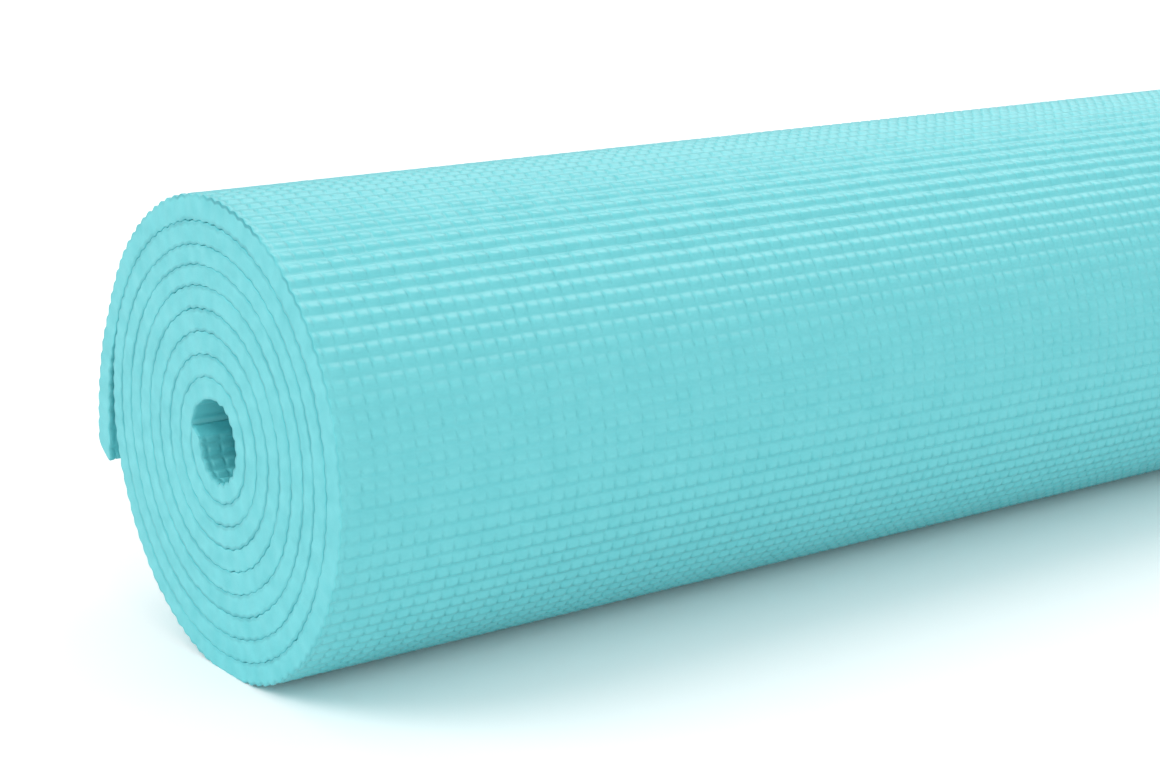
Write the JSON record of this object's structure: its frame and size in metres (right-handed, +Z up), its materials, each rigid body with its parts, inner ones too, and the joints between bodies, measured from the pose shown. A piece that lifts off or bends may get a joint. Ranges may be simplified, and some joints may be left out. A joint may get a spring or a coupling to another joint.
{
  "type": "rolled yoga mat",
  "caption": "Foam exercise mat rolled up tightly on an empty core, lying on its side, with a free outer end that peels back.",
  "frame": {"origin": "on the floor, in the middle of the resting flat, under the roll's axis and halfway along the roll", "axes": "+X along the roll's axis, -X towards the pictured end; +Z up; +Y towards the side that the free end hangs on"},
  "size_m": [0.61, 0.1096, 0.1029],
  "materials": {
    "foam": "matt foamed vinyl, embossed with a fine square grid of raised cells",
    "scrim": "open-weave polyester"
  },
  "bodies": {
    "roll": {"outer_foam": "foam", "scrim": "scrim", "inner_foam": "foam"},
    "free_end": {"free_end_outer_foam": "foam", "free_end_scrim": "scrim", "free_end_inner_foam": "foam"}
  },
  "joints": [
    {"name": "free_end_peel", "type": "hinge", "parent": "roll", "child": "free_end", "pos_m": [0, 0.04726, 0.07548], "axis": [1, 0, 0], "range_deg": [-3, 60], "stiffness_Nm_per_rad": 0.3}
  ]
}
